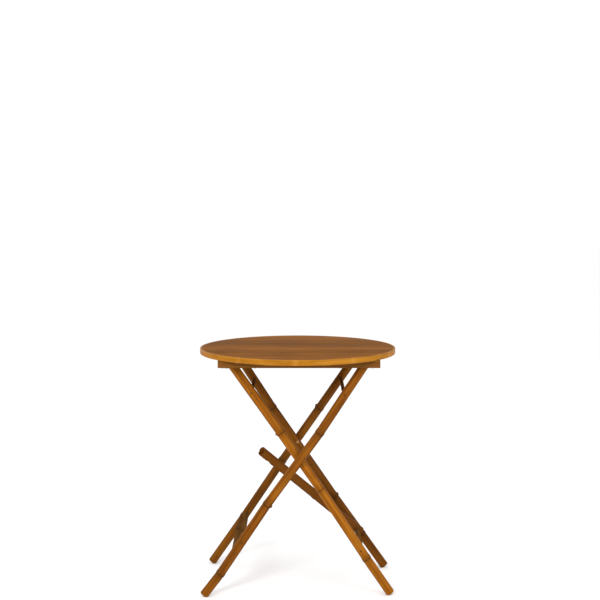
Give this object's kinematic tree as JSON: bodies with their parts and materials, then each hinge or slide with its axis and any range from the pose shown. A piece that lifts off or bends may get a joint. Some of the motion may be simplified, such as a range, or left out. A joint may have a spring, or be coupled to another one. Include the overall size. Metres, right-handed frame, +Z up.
{
  "type": "folding bar-height bamboo table",
  "caption": "Round bamboo table on two crossed folding leg frames, with a hinged plank top, a swinging lock strut and a central parasol hole.",
  "frame": {"origin": "on the floor, under the middle of the table top", "axes": "+Z up, X along the planks with the hinge side at +X, +Y from the front to the back (the strut is at the back)"},
  "size_m": [0.8, 0.7998, 0.98],
  "materials": {
    "top_planks": "varnished split-bamboo planks, warm brown, satin",
    "rim_bamboo": "bent bamboo strip, golden orange, satin varnish",
    "under_wood": "stained hardwood, brown, thin varnish",
    "culm": "bamboo culm, golden brown, satin varnish",
    "culm_dark": "bamboo culm, darker brown, satin varnish",
    "rung": "thin bamboo, pale brown, dull varnish",
    "dowel": "plain turned wood",
    "steel": "dull zinc-plated steel"
  },
  "bodies": {
    "outer_frame": {"outer_leg_front": "culm", "outer_leg_rear": "culm", "outer_upper_rung": "rung", "outer_lock_rung": "rung", "outer_lower_rung": "rung", "outer_nails": "steel", "pivot_peg_front": "dowel", "pivot_peg_rear": "dowel"},
    "inner_frame": {"inner_leg_front": "culm", "inner_leg_rear": "culm", "inner_upper_rung": "rung", "inner_lower_rung": "rung", "inner_top_rod": "dowel", "inner_nails": "steel"},
    "top": {"plank_1": "top_planks", "plank_2": "top_planks", "plank_3": "top_planks", "plank_4": "top_planks", "plank_5": "top_planks", "plank_6": "top_planks", "plank_7": "top_planks", "plank_8": "top_planks", "rim_front": "rim_bamboo", "rim_rear": "rim_bamboo", "batten_1": "under_wood", "batten_2": "under_wood", "batten_3": "under_wood", "batten_4": "under_wood", "hole_cleat": "under_wood", "front_rail": "under_wood", "rear_rail": "under_wood", "front_catch": "under_wood", "rear_catch": "under_wood", "top_hinge_rod": "dowel", "batten_screws": "steel", "rail_screws": "steel"},
    "lock_strut": {"lock_strut": "culm_dark"}
  },
  "joints": [
    {"name": "leg_fold", "type": "hinge", "parent": "outer_frame", "child": "inner_frame", "pos_m": [0, 0, 0.55062], "axis": [0, 1, 0], "range_deg": [0, 48]},
    {"name": "top_tilt", "type": "hinge", "parent": "outer_frame", "child": "top", "pos_m": [0.268, 0, 0.941], "axis": [0, 1, 0], "range_deg": [0, 96]},
    {"name": "strut_swing", "type": "hinge", "parent": "inner_frame", "child": "lock_strut", "pos_m": [0.25349, 0, 0.18137], "axis": [0, 1, 0], "range_deg": [-31.26, 16.03]}
  ],
  "couplings": [
    {"joint": "top_tilt", "follows": "leg_fold", "ratio": 2}
  ]
}
